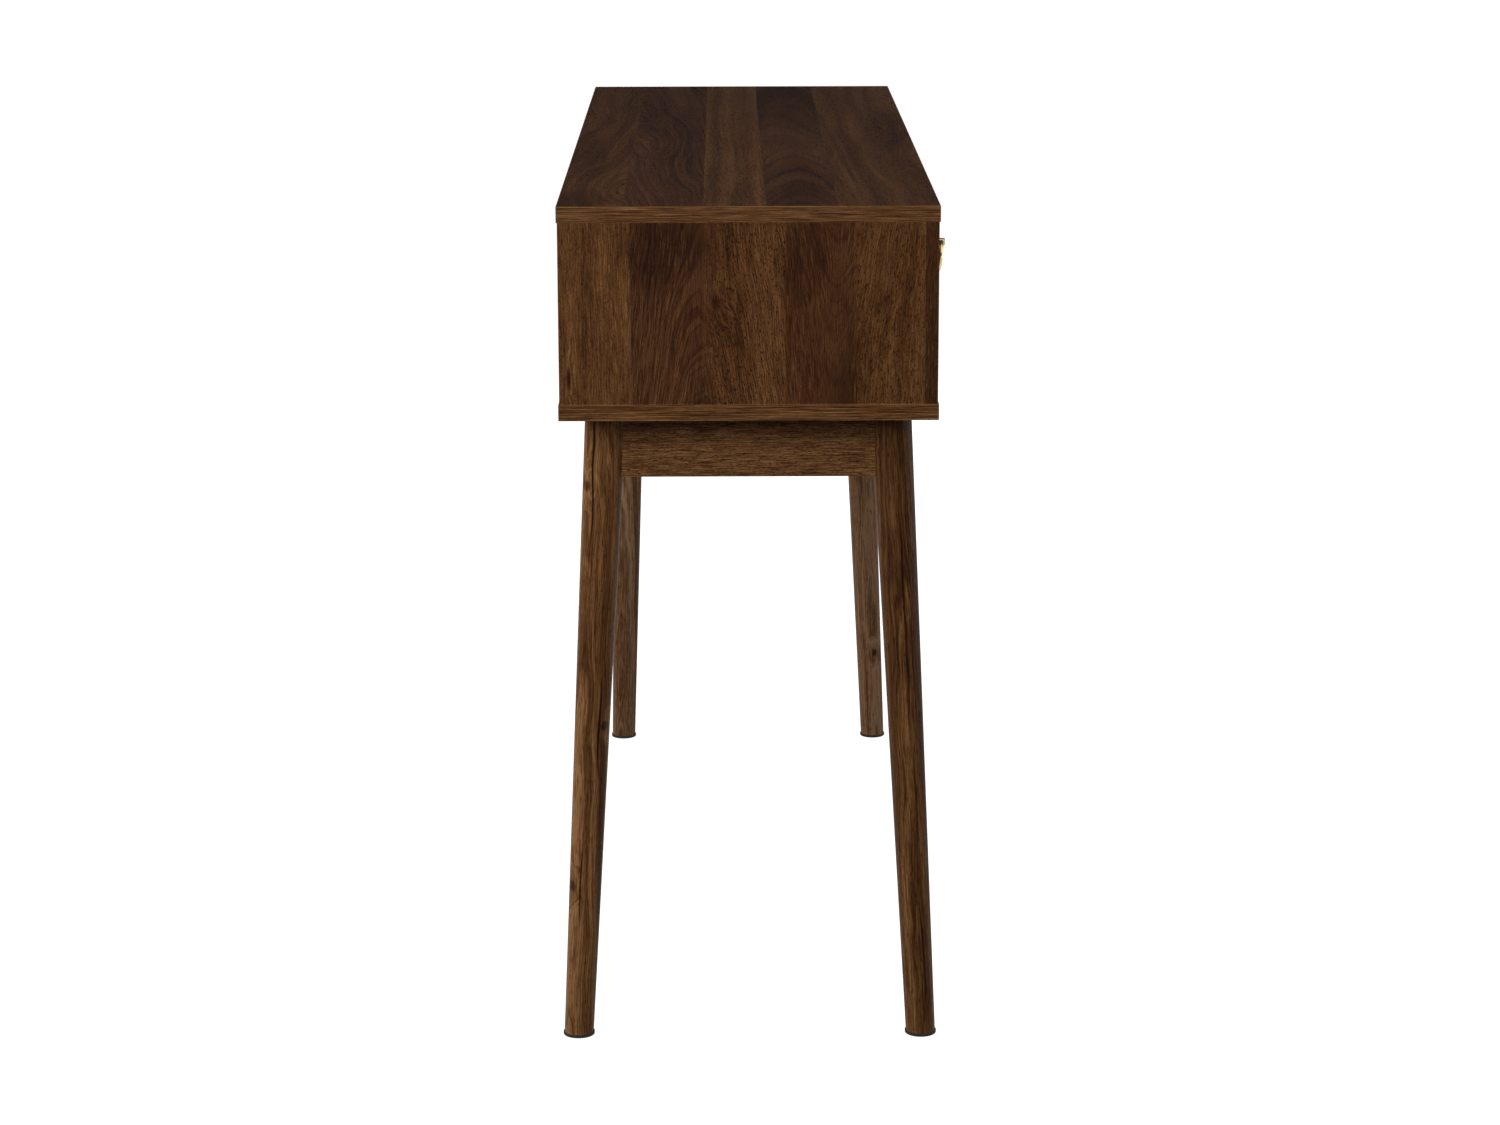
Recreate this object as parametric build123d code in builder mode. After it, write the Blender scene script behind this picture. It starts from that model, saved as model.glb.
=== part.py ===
from build123d import *
import os

# Console table: a flat-pack chipboard carcass with two inset drawers, on a frame of four
# aprons and four splayed, tapered round legs.
# Frame: +X along the table, the drawers open towards -Y, +Z up. Origin: the centre of the
# whole table's bounding box, on the floor. Millimetres.

os.makedirs("parts", exist_ok=True)

# ---- Driving dimensions ----
length = 1100
depth = 350
height = 800
board = 15
side_height = 168
inset = 1              # sides and drawer fronts stand back from the edges of the top
edge_round = 0.6
bore_gap = 0.05        # radial gap of a fastener in its bore

leg_top_x, leg_top_y = 498, 133      # leg axis at the carcass, from the table's centre
leg_splay = 31                       # outwards both ways, from the carcass to the floor
# The legs of the right end stand straighter: how far each foot is in from that splay, along Y.
feet_in = {"front_left": 0, "front_right": 4, "back_left": 0, "back_right": 16}
leg_top_r, leg_foot_r = 19.2, 14.0
glide_r, glide_t = 15, 3
glide_pin_r, glide_pin_length = 1.2, 12
apron_t, apron_h = 16, 61
apron_out = 10                       # apron's outer face beyond the leg axis
apron_stop = 12.5                    # apron's end short of the leg axis
apron_round = 1

pull_eye_reach = 17.8                # ring's pivot, from the drawer front
pull_post_r = 3.9
pull_tip = 3.9                       # post's end beyond the ring's pivot
pull_eye_t = 6
ring_r, ring_wire_r = 13.5, 2.2
ring_z = 727.5                       # height of the ring's pivot
ring_lean = 5                        # degrees that the ring hangs in towards the drawer

# ---- Derived places ----
half_length = length / 2
top_z = height - board
carcass_z = top_z - side_height
under_z = carcass_z - board
leg_foot_x, leg_foot_y = leg_top_x + leg_splay, leg_top_y + leg_splay
pull_reach = depth / 2 - inset + pull_eye_reach + pull_tip
body_y = (pull_reach - leg_foot_y - glide_r) / 2
front_y = body_y - depth / 2 + inset
side_depth = depth - 2 * inset
side_x = half_length - inset - board / 2
side_inner_x = side_x - board / 2

# ---- Back panel and its groove ----
back_t, back_fit = 3, 0.2
groove_depth = 5
back_y = body_y + side_depth / 2 - 9.5
divider_depth = back_y - back_t / 2 - back_fit - front_y

# ---- Flat-pack fittings of the carcass ----
joint_y = (body_y - 120, body_y + 120)
dowel_y = (body_y - 60, body_y + 60)
joint_x = (-side_x, 0, side_x)
cam_r, cam_h, cam_edge = 7.4, 11, 24
claw_r, claw_past = 3.8, 4
bolt_thread_r, bolt_thread_depth = 3.5, 10.5
bolt_shank_r, bolt_neck_r, bolt_head_r, bolt_head_t = 3.0, 2.2, 3.3, 2.5
bolt_past = 2.5                      # bolt head's end beyond the cam's centre
bolt_bore_r = 4.0
dowel_r, dowel_length, dowel_in_board = 4.0, 29, 9.5
screw_r, screw_head_r, screw_head_t = 2.0, 3.9, 2.4

# ---- Drawers ----
opening = side_inner_x - board / 2
drawer_x = board / 2 + opening / 2
front_gap = 2
box_gap = 2.5
box_w = opening - 2 * box_gap
box_t, box_length, box_h = 12, 300, 120
box_z = carcass_z + 15
box_y = front_y + board
runner_z = 692
runner_h, runner_t = 16, 7.0
runner_groove_h, runner_groove_depth = 17, 5.2
runner_start, runner_end = 26, 292    # from the back of the drawer front
drawer_groove, drawer_groove_depth = 3.4, 4
bottom_z = box_z + 10
bottom_t = 3
drawer_cam_z = (box_z + 28, box_z + 93)
drawer_cam_h = 10
drawer_screw_z = (box_z + 30, box_z + 90)


def save(piece, label):
    piece.part.label = label
    export_step(piece.part, f"parts/{label}.step")


# ---- Carcass ----
def long_board(label, low_z, inner_z, into, screw_points=()):
    """Top or bottom board. inner_z is its face towards the sides, into the sign of Z into the board."""
    with BuildPart() as panel:
        with BuildSketch(Plane.XY.offset(low_z)):
            with Locations((0, body_y)):
                Rectangle(length, depth)
        extrude(amount=board)
        fillet(panel.edges(), edge_round)
        with BuildSketch(Plane.XY.offset(inner_z)):
            with Locations((0, back_y)):
                Rectangle(2 * (side_inner_x + groove_depth), back_t + 2 * back_fit)
        extrude(amount=into * groove_depth, mode=Mode.SUBTRACT)
        with BuildSketch(Plane.XY.offset(inner_z)):
            with Locations(*[(x, y) for x in joint_x for y in joint_y]):
                Circle(bolt_thread_r + bore_gap)
        extrude(amount=into * (bolt_thread_depth + 0.5), mode=Mode.SUBTRACT)
        with BuildSketch(Plane.XY.offset(inner_z)):
            with Locations(*[(x, y) for x in joint_x for y in dowel_y]):
                Circle(dowel_r + bore_gap)
        extrude(amount=into * (dowel_in_board + 0.5), mode=Mode.SUBTRACT)
        if screw_points:
            with BuildSketch(Plane.XY.offset(under_z)):
                with Locations(*screw_points):
                    Circle(screw_r + bore_gap)
            extrude(amount=frame_screw_in_board + 0.5, mode=Mode.SUBTRACT)
    save(panel, label)


def upright(label, x, y, board_depth, inward, back_groove, runner_faces):
    """Side panel or divider. inward is the sign of X of the face with the cam housings."""
    face_x = x + inward * board / 2
    with BuildPart() as panel:
        with BuildSketch(Plane.XY.offset(carcass_z)):
            with Locations((x, y)):
                Rectangle(board, board_depth)
        extrude(amount=side_height)
        fillet(panel.edges().filter_by(Axis.Z), edge_round)
        if back_groove:
            with BuildSketch(Plane.XY.offset(carcass_z)):
                with Locations((face_x - inward * groove_depth / 2, back_y)):
                    Rectangle(groove_depth, back_t + 2 * back_fit)
            extrude(amount=side_height, mode=Mode.SUBTRACT)
        with BuildSketch(Plane.YZ.offset(face_x)):
            with Locations(*[(j, z) for j in joint_y for z in (carcass_z + cam_edge, top_z - cam_edge)]):
                Circle(cam_r + bore_gap)
        extrude(amount=-inward * (cam_h + 0.2), mode=Mode.SUBTRACT)
        for edge_z, down in ((top_z, -1), (carcass_z, 1)):
            with BuildSketch(Plane.XY.offset(edge_z)):
                with Locations(*[(x, j) for j in joint_y]):
                    Circle(bolt_bore_r)
            extrude(amount=down * cam_edge, mode=Mode.SUBTRACT)
            with BuildSketch(Plane.XY.offset(edge_z)):
                with Locations(*[(x, j) for j in dowel_y]):
                    Circle(dowel_r + bore_gap)
            extrude(amount=down * (dowel_length - dowel_in_board + 0.5), mode=Mode.SUBTRACT)
        for face in runner_faces:
            with BuildSketch(Plane.YZ.offset(x + face * board / 2)):
                with Locations(*[(y_hole, runner_z) for y_hole in runner_screw_y]):
                    Circle(runner_screw_r + bore_gap)
            extrude(amount=-face * (runner_screw_in_board + 0.3), mode=Mode.SUBTRACT)
    save(panel, label)


def screw_group(label, planes, screw_length, shank_r, head_r, head_t):
    """Countersunk screws. Each plane lies on the head's flat face, with its normal out of the head."""
    with BuildPart() as screws:
        with Locations(*planes):
            Cylinder(shank_r, screw_length, align=(Align.CENTER, Align.CENTER, Align.MAX))
            with Locations((0, 0, -head_t / 2)):
                Cone(shank_r, head_r, head_t)
            Box(head_r, head_r / 4, head_t / 2, align=(Align.CENTER, Align.CENTER, Align.MAX),
                mode=Mode.SUBTRACT)
            Box(head_r / 4, head_r, head_t / 2, align=(Align.CENTER, Align.CENTER, Align.MAX),
                mode=Mode.SUBTRACT)
    save(screws, label)


def cam_group(label, planes, thickness, bolt_depth):
    """Cam locks. Each plane lies on the board's face, its normal out of the board, its X towards the bolt."""
    claw_length = cam_r + claw_past
    with BuildPart() as cams:
        with Locations(*planes):
            Cylinder(cam_r, thickness, align=(Align.CENTER, Align.CENTER, Align.MAX))
            with Locations(Location((cam_r + 1 - claw_length / 2, 0, -bolt_depth), (0, 90, 0))):
                Cylinder(claw_r, claw_length + 2, mode=Mode.SUBTRACT)
            Box(7, 1.4, 1.5, align=(Align.CENTER, Align.CENTER, Align.MAX), mode=Mode.SUBTRACT)
            Box(1.4, 7, 1.5, align=(Align.CENTER, Align.CENTER, Align.MAX), mode=Mode.SUBTRACT)
    save(cams, label)


def cam_bolt_group(label, planes):
    """Cam bolts. Each plane lies on the face that the bolt stands in, its normal along the bolt's shank."""
    reach = cam_edge + bolt_past
    collar = cam_edge - cam_r - 1
    with BuildPart() as bolts:
        with Locations(*planes):
            Cylinder(bolt_thread_r, bolt_thread_depth, align=(Align.CENTER, Align.CENTER, Align.MAX))
            Cylinder(bolt_shank_r, collar, align=(Align.CENTER, Align.CENTER, Align.MIN))
            Cylinder(bolt_neck_r, reach, align=(Align.CENTER, Align.CENTER, Align.MIN))
            with Locations((0, 0, reach - bolt_head_t / 2)):
                Cylinder(bolt_head_r, bolt_head_t)
    save(bolts, label)


# ---- Frame places ----
frame_screw_in_board = 11
frame_screw_seat = 30                # screw heads sit this far below the carcass, in counterbores
frame_screw_bore_r = 4.5
long_apron_y = leg_top_y + apron_out - apron_t / 2
short_apron_x = leg_top_x + apron_out - apron_t / 2
long_screw_x = (-300, 0, 300)
short_screw_y = (-60, 60)
frame_screw_points = [(x, body_y + s * long_apron_y) for s in (-1, 1) for x in long_screw_x]
frame_screw_points += [(s * short_apron_x, body_y + y) for s in (-1, 1) for y in short_screw_y]

runner_screw_r, runner_screw_head_r, runner_screw_length = 1.6, 3.0, 12
runner_screw_in_board = runner_screw_length - runner_t
runner_screw_y = [box_y + d for d in (45, 160, 275)]

long_board("top_panel", top_z, top_z, 1)
long_board("bottom_panel", under_z, carcass_z, -1, frame_screw_points)
upright("left_side_panel", -side_x, body_y, side_depth, 1, True, (1,))
upright("right_side_panel", side_x, body_y, side_depth, -1, True, (-1,))
upright("center_divider", 0, front_y + divider_depth / 2, divider_depth, -1, False, (-1, 1))

with BuildPart() as back_panel:
    with BuildSketch(Plane.XZ.offset(-back_y)):
        with Locations((0, carcass_z + side_height / 2)):
            Rectangle(2 * (side_inner_x + groove_depth - 0.5), side_height + 2 * (groove_depth - 0.5))
    extrude(amount=back_t / 2, both=True)
save(back_panel, "back_panel")

cam_planes = []
bolt_planes = []
for joint, inward in ((-side_x, 1), (0, -1), (side_x, -1)):
    for y in joint_y:
        face_x = joint + inward * board / 2
        for edge_z, to_edge in ((carcass_z, -1), (top_z, 1)):
            cam_z = edge_z - to_edge * cam_edge
            cam_planes.append(Plane(origin=(face_x, y, cam_z), x_dir=(0, 0, to_edge), z_dir=(inward, 0, 0)))
            bolt_planes.append(Plane(origin=(joint, y, edge_z), z_dir=(0, 0, -to_edge)))
cam_group("cam_locks", cam_planes, cam_h, board / 2)
cam_bolt_group("cam_bolts", bolt_planes)

with BuildPart() as dowels:
    for edge_z, to_edge in ((carcass_z, -1), (top_z, 1)):
        dowel_mid = edge_z + to_edge * (dowel_in_board - dowel_length / 2)
        with Locations(*[(x, y, dowel_mid) for x in joint_x for y in dowel_y]):
            Cylinder(dowel_r, dowel_length)
    chamfer(dowels.edges(), 0.8)
save(dowels, "wood_dowels")


# ---- Leg frame ----
def leg_axis(sx, sy, z, foot_in=0):
    """Point on a leg's axis at height z. foot_in is how far its foot stands in, along Y."""
    down = (under_z - z) / under_z
    out_y = leg_top_y + (leg_splay - foot_in) * down
    return Vector(sx * (leg_top_x + leg_splay * down), body_y + sy * out_y, z)


def apron_box(along_x, sign, mode=Mode.ADD):
    """One apron's timber, in the part being built."""
    if along_x:
        size = (2 * (leg_top_x - apron_stop), apron_t)
        place = (0, body_y + sign * long_apron_y)
    else:
        size = (apron_t, 2 * (leg_top_y - apron_stop))
        place = (sign * short_apron_x, body_y)
    with Locations((*place, under_z - apron_h / 2)):
        Box(*size, apron_h, mode=mode)


bracket_z = under_z - 30
bracket_h, bracket_t, bracket_tab = 46, 2, 24
bracket_s = 34                       # bracket plate, from the leg axis along the diagonal
hanger_r = 3.0
hanger_in_leg, hanger_reach = 10, 46
tab_screw_dz = 14
tab_screw_r, tab_screw_head_r, tab_screw_length = 1.9, 3.6, 13


def corner_frame(sx, sy):
    """Bracket height plane at a leg's axis, +X and +Y pointing out of the table at that corner."""
    axis = leg_axis(sx, sy, bracket_z)
    return Plane(origin=axis, x_dir=(sx, 0, 0), z_dir=(0, 0, sx * sy))


inner_x = leg_top_x + apron_out - apron_t - leg_axis(1, 1, bracket_z).X
inner_y = inner_x
plate_sum = -bracket_s * 2 ** 0.5    # x + y on the bracket's plate
tab_mid = bracket_tab / 2 + 2


def hanger_plane(sx, sy):
    """Plane across the hanger bolt at the leg's axis, its normal pointing into the table."""
    return Plane(origin=leg_axis(sx, sy, bracket_z), z_dir=(-sx, -sy, 0))


def tab_planes(sx, sy):
    """Screw places on both bracket tabs, normals out of the aprons."""
    frame = corner_frame(sx, sy)
    face_x = inner_x - bracket_t
    along = plate_sum - inner_x - tab_mid
    planes = []
    for dz in (-tab_screw_dz, tab_screw_dz):
        short_side = frame.from_local_coords(Vector(face_x, along, dz))
        long_side = frame.from_local_coords(Vector(along, face_x, dz))
        planes.append(Plane(origin=short_side, z_dir=(-sx, 0, 0)))
        planes.append(Plane(origin=long_side, z_dir=(0, -sy, 0)))
    return planes


corners = {"front_left": (-1, -1), "front_right": (1, -1), "back_left": (-1, 1), "back_right": (1, 1)}
all_tab_planes = [p for sx, sy in corners.values() for p in tab_planes(sx, sy)]

for label, along_x, sign in (("front_apron", True, -1), ("back_apron", True, 1),
                             ("left_apron", False, -1), ("right_apron", False, 1)):
    with BuildPart() as apron:
        apron_box(along_x, sign)
        run = Axis.X if along_x else Axis.Y
        low_edges = apron.edges().filter_by(run).group_by(Axis.Z)[0]
        fillet(low_edges, apron_round)
        if along_x:
            screw_points = [(x, body_y + sign * long_apron_y) for x in long_screw_x]
        else:
            screw_points = [(sign * short_apron_x, body_y + y) for y in short_screw_y]
        with BuildSketch(Plane.XY.offset(under_z - apron_h)):
            with Locations(*screw_points):
                Circle(frame_screw_bore_r)
        extrude(amount=apron_h - frame_screw_seat, mode=Mode.SUBTRACT)
        with Locations(*[(*point, under_z) for point in screw_points]):
            Cylinder(screw_r + bore_gap, 2 * frame_screw_seat, mode=Mode.SUBTRACT)
            with Locations((0, 0, screw_head_t / 2 - frame_screw_seat)):
                Cone(screw_head_r + bore_gap, screw_r + bore_gap, screw_head_t, mode=Mode.SUBTRACT)
        with Locations(*all_tab_planes):
            Cylinder(tab_screw_r + bore_gap, 2 * tab_screw_length, mode=Mode.SUBTRACT)
    save(apron, label)

frame_screw_planes = [Plane(origin=(*p, under_z - frame_screw_seat), z_dir=(0, 0, -1))
                      for p in frame_screw_points]
screw_group("frame_screws", frame_screw_planes, frame_screw_seat + frame_screw_in_board,
            screw_r, screw_head_r, screw_head_t)

overrun = 30                         # legs are drawn past both ends and cut flat
for name, (sx, sy) in corners.items():
    top_point = leg_axis(sx, sy, under_z)
    foot_point = leg_axis(sx, sy, 0, feet_in[name])
    axis_length = (top_point - foot_point).length
    taper = (leg_top_r - leg_foot_r) / axis_length
    foot_plane = Plane(origin=foot_point, z_dir=top_point - foot_point)
    foot_center = leg_axis(sx, sy, glide_t, feet_in[name])
    with BuildPart() as leg:
        with Locations(foot_plane.offset(-overrun)):
            Cone(leg_foot_r - taper * overrun, leg_top_r + taper * overrun, axis_length + 2 * overrun,
                 align=(Align.CENTER, Align.CENTER, Align.MIN))
        split(bisect_by=Plane.XY.offset(under_z), keep=Keep.BOTTOM)
        split(bisect_by=Plane.XY.offset(glide_t), keep=Keep.TOP)
        apron_box(True, sy, mode=Mode.SUBTRACT)
        apron_box(False, sx, mode=Mode.SUBTRACT)
        with Locations(hanger_plane(sx, sy)):
            Cylinder(hanger_r + bore_gap, leg_top_r * 2, mode=Mode.SUBTRACT,
                     align=(Align.CENTER, Align.CENTER, Align.MIN))
            Cylinder(hanger_r + bore_gap, hanger_in_leg + 0.5, mode=Mode.SUBTRACT,
                     align=(Align.CENTER, Align.CENTER, Align.MAX))
        with Locations(foot_center):
            Cylinder(glide_pin_r + 0.1, glide_pin_length + 1, align=(Align.CENTER, Align.CENTER, Align.MIN),
                     mode=Mode.SUBTRACT)
    save(leg, f"leg_{name}")

    with BuildPart() as glide:
        with Locations((foot_center.X, foot_center.Y, 0)):
            Cylinder(glide_r, glide_t, align=(Align.CENTER, Align.CENTER, Align.MIN))
        fillet(glide.edges().group_by(Axis.Z)[0], 1)
        with Locations(foot_center):
            Cylinder(glide_pin_r, glide_pin_length, align=(Align.CENTER, Align.CENTER, Align.MIN))
    save(glide, f"foot_glide_{name}")

    plate_x = plate_sum - inner_x
    tab_end = plate_x - bracket_tab
    frame = corner_frame(sx, sy)
    with BuildPart() as bracket:
        with BuildSketch(frame):
            with BuildLine():
                bend = Polyline((inner_x, tab_end), (inner_x, plate_x), (plate_x, inner_x), (tab_end, inner_x))
                offset(bend, amount=bracket_t, side=Side.LEFT)
            make_face()
        extrude(amount=bracket_h / 2, both=True)
        with Locations(hanger_plane(sx, sy)):
            Cylinder(hanger_r + 0.3, hanger_reach + 10, mode=Mode.SUBTRACT,
                     align=(Align.CENTER, Align.CENTER, Align.MIN))
        with Locations(*tab_planes(sx, sy)):
            Cylinder(tab_screw_r + 0.2, 3 * bracket_t, mode=Mode.SUBTRACT)
    save(bracket, f"corner_bracket_{name}")

hanger_planes = [hanger_plane(sx, sy) for sx, sy in corners.values()]
with BuildPart() as hanger_bolts:
    with Locations(*hanger_planes):
        with Locations((0, 0, -hanger_in_leg)):
            Cylinder(hanger_r, hanger_in_leg + hanger_reach, align=(Align.CENTER, Align.CENTER, Align.MIN))
save(hanger_bolts, "hanger_bolts")

nut_t, nut_across, washer_r, washer_t = 5, 10, 8, 1.4
nut_seat = bracket_s + bracket_t
with BuildPart() as hanger_nuts:
    for plane in hanger_planes:
        with BuildSketch(plane.offset(nut_seat + washer_t)):
            RegularPolygon(nut_across / 2, 6, major_radius=False)
            Circle(hanger_r + bore_gap, mode=Mode.SUBTRACT)
        extrude(amount=nut_t)
        with BuildSketch(plane.offset(nut_seat)):
            Circle(washer_r)
            Circle(hanger_r + bore_gap, mode=Mode.SUBTRACT)
        extrude(amount=washer_t)
save(hanger_nuts, "hanger_nuts")

pan_head_t = 2.2
with BuildPart() as bracket_screws:
    with Locations(*all_tab_planes):
        Cylinder(tab_screw_r, tab_screw_length, align=(Align.CENTER, Align.CENTER, Align.MAX))
        Cylinder(tab_screw_head_r, pan_head_t, align=(Align.CENTER, Align.CENTER, Align.MIN))
        with Locations((0, 0, pan_head_t)):
            Box(4, 0.9, 2.4, mode=Mode.SUBTRACT)
            Box(0.9, 4, 2.4, mode=Mode.SUBTRACT)
save(bracket_screws, "bracket_screws")

# ---- Drawer runners: plastic strips that the grooved drawer sides slide on ----
runner_length = runner_end - runner_start
runner_screw_planes = []
for name, wall_x, out in (("left_drawer_left", -side_inner_x, 1), ("left_drawer_right", -board / 2, -1),
                          ("right_drawer_left", board / 2, 1), ("right_drawer_right", side_inner_x, -1)):
    with BuildPart() as runner:
        with BuildSketch(Plane.YZ.offset(wall_x)):
            with Locations((box_y + (runner_start + runner_end) / 2, runner_z)):
                RectangleRounded(runner_length, runner_h, 1.5)
        extrude(amount=out * runner_t)
        planes = [Plane(origin=(wall_x + out * runner_t, y, runner_z), z_dir=(out, 0, 0))
                  for y in runner_screw_y]
        with Locations(*planes):
            Cylinder(runner_screw_r + bore_gap, 2 * runner_t, mode=Mode.SUBTRACT)
            with Locations((0, 0, -screw_head_t / 2)):
                Cone(runner_screw_r + bore_gap, runner_screw_head_r + bore_gap, screw_head_t,
                     mode=Mode.SUBTRACT)
    save(runner, f"{name}_runner")
    runner_screw_planes += planes
screw_group("runner_screws", runner_screw_planes, runner_screw_length,
            runner_screw_r, runner_screw_head_r, screw_head_t)


# ---- Drawers ----
def drawer_side(label, outer_x, out):
    """Drawer side. outer_x is its outer face and out the sign of X out of it."""
    mid_x = outer_x - out * box_t / 2
    with BuildPart() as side:
        with BuildSketch(Plane.XY.offset(box_z)):
            with Locations((mid_x, box_y + box_length / 2)):
                Rectangle(box_t, box_length)
        extrude(amount=box_h)
        fillet(side.edges().filter_by(Axis.Y).group_by(Axis.Z)[-1], edge_round)
        groove_start = runner_start - 0.5
        with BuildSketch(Plane.YZ.offset(outer_x)):
            with Locations((box_y + (groove_start + box_length) / 2, runner_z)):
                Rectangle(box_length - groove_start, runner_groove_h)
        extrude(amount=-out * runner_groove_depth, mode=Mode.SUBTRACT)
        with BuildSketch(Plane.YZ.offset(outer_x - out * box_t)):
            with Locations((box_y + box_length / 2, bottom_z + bottom_t / 2)):
                Rectangle(box_length, drawer_groove)
        extrude(amount=out * drawer_groove_depth, mode=Mode.SUBTRACT)
        with BuildSketch(Plane.YZ.offset(outer_x)):
            with Locations(*[(box_y + cam_edge, z) for z in drawer_cam_z]):
                Circle(cam_r + bore_gap)
        extrude(amount=-out * (drawer_cam_h + 0.2), mode=Mode.SUBTRACT)
        with BuildSketch(Plane.XZ.offset(-box_y)):
            with Locations(*[(mid_x, z) for z in drawer_cam_z]):
                Circle(bolt_bore_r)
        extrude(amount=-cam_edge, mode=Mode.SUBTRACT)
        with Locations(*[Plane(origin=(outer_x, back_screw_y, z), z_dir=(out, 0, 0)) for z in drawer_screw_z]):
            Cylinder(screw_r + bore_gap, 3 * box_t, mode=Mode.SUBTRACT)
            with Locations((0, 0, -screw_head_t / 2)):
                Cone(screw_r + bore_gap, screw_head_r + bore_gap, screw_head_t, mode=Mode.SUBTRACT)
    save(side, label)


back_screw_y = box_y + box_length - 2 - box_t / 2
back_screw_length = 38
pull_screw_r, pull_screw_in_post = 2, 7
pull_head_r, pull_head_t = 4, 2.4
rose_r, rose_t, rose_round = 10, 2.5, 1.2
tip_round = 1.2
eye_flat_start = rose_t + 4          # flats on the post, from the drawer front
eye_bore_r = 2.5
# The ring hangs where its wire fills the eye's bore evenly above and below.
ring_inner_drop = ((ring_r - ring_wire_r) ** 2 - (pull_eye_t / 2) ** 2) ** 0.5
ring_hang = (ring_inner_drop + ring_r + ring_wire_r) / 2

for name, sign in (("left", -1), ("right", 1)):
    center_x = sign * drawer_x
    outer = {"left": (center_x - box_w / 2, -1), "right": (center_x + box_w / 2, 1)}
    inner_w = box_w - 2 * box_t

    with BuildPart() as drawer_front:
        with BuildSketch(Plane.XZ.offset(-front_y)):
            with Locations((center_x, carcass_z + side_height / 2)):
                Rectangle(opening - 2 * front_gap, side_height - 2 * front_gap)
        extrude(amount=-board)
        fillet(drawer_front.edges(), edge_round)
        with BuildSketch(Plane.XZ.offset(-box_y)):
            with Locations((center_x, bottom_z + bottom_t / 2)):
                Rectangle(inner_w + 2 * drawer_groove_depth, drawer_groove)
        extrude(amount=drawer_groove_depth, mode=Mode.SUBTRACT)
        with BuildSketch(Plane.XZ.offset(-box_y)):
            with Locations(*[(x - out * box_t / 2, z) for x, out in outer.values() for z in drawer_cam_z]):
                Circle(bolt_thread_r + bore_gap)
        extrude(amount=bolt_thread_depth + 0.5, mode=Mode.SUBTRACT)
        with Locations(Plane(origin=(center_x, front_y, ring_z), z_dir=(0, -1, 0))):
            Cylinder(pull_screw_r + 0.25, 4 * board, mode=Mode.SUBTRACT)
    save(drawer_front, f"{name}_drawer_front")

    for side_name, (outer_x, out) in outer.items():
        drawer_side(f"{name}_drawer_{side_name}_side", outer_x, out)

    back_low = bottom_z + bottom_t + 0.2
    with BuildPart() as drawer_back:
        with BuildSketch(Plane.XZ.offset(-back_screw_y)):
            with Locations((center_x, (back_low + box_z + box_h) / 2)):
                Rectangle(inner_w, box_z + box_h - back_low)
        extrude(amount=box_t / 2, both=True)
        fillet(drawer_back.edges().filter_by(Axis.X).group_by(Axis.Z)[-1], edge_round)
        back_screw_planes = [Plane(origin=(x, back_screw_y, z), z_dir=(out, 0, 0))
                             for x, out in outer.values() for z in drawer_screw_z]
        with Locations(*back_screw_planes):
            Cylinder(screw_r + bore_gap, back_screw_length + 1, mode=Mode.SUBTRACT,
                     align=(Align.CENTER, Align.CENTER, Align.MAX))
    save(drawer_back, f"{name}_drawer_back")
    screw_group(f"{name}_drawer_screws", back_screw_planes, back_screw_length,
                screw_r, screw_head_r, screw_head_t)

    bottom_start = box_y - drawer_groove_depth + 0.4
    bottom_length = box_y + box_length - bottom_start
    with BuildPart() as drawer_bottom:
        with BuildSketch(Plane.XY.offset(bottom_z)):
            with Locations((center_x, bottom_start + bottom_length / 2)):
                Rectangle(inner_w + 2 * (drawer_groove_depth - 0.4), bottom_length)
        extrude(amount=bottom_t)
    save(drawer_bottom, f"{name}_drawer_bottom")

    drawer_cam_planes = [Plane(origin=(x, box_y + cam_edge, z), x_dir=(0, -1, 0), z_dir=(out, 0, 0))
                         for x, out in outer.values() for z in drawer_cam_z]
    drawer_bolt_planes = [Plane(origin=(x - out * box_t / 2, box_y, z), z_dir=(0, 1, 0))
                          for x, out in outer.values() for z in drawer_cam_z]
    cam_group(f"{name}_drawer_cam_locks", drawer_cam_planes, drawer_cam_h, box_t / 2)
    cam_bolt_group(f"{name}_drawer_cam_bolts", drawer_bolt_planes)

    pull_plane = Plane(origin=(center_x, front_y, ring_z), x_dir=(1, 0, 0), z_dir=(0, -1, 0))
    with BuildPart() as pull:
        with Locations(pull_plane):
            Cylinder(rose_r, rose_t, align=(Align.CENTER, Align.CENTER, Align.MIN))
        fillet(pull.edges().group_by(Axis.Y)[0], rose_round)
        with Locations(pull_plane):
            Cylinder(pull_post_r, pull_eye_reach + pull_tip, align=(Align.CENTER, Align.CENTER, Align.MIN))
        fillet(pull.edges().group_by(Axis.Y)[0], tip_round)
        with Locations(pull_plane):
            with Locations((0, 0, eye_flat_start)):
                with GridLocations(pull_eye_t + 2 * pull_post_r, 0, 2, 1):
                    Box(2 * pull_post_r, 4 * pull_post_r, pull_eye_reach, mode=Mode.SUBTRACT,
                        align=(Align.CENTER, Align.CENTER, Align.MIN))
            with Locations(Location((0, 0, pull_eye_reach), (0, 90, 0))):
                Cylinder(eye_bore_r, 4 * pull_post_r, mode=Mode.SUBTRACT)
            Cylinder(pull_screw_r + bore_gap, pull_screw_in_post + 1, mode=Mode.SUBTRACT,
                     align=(Align.CENTER, Align.CENTER, Align.MIN))
    save(pull, f"{name}_pull_post")

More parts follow.
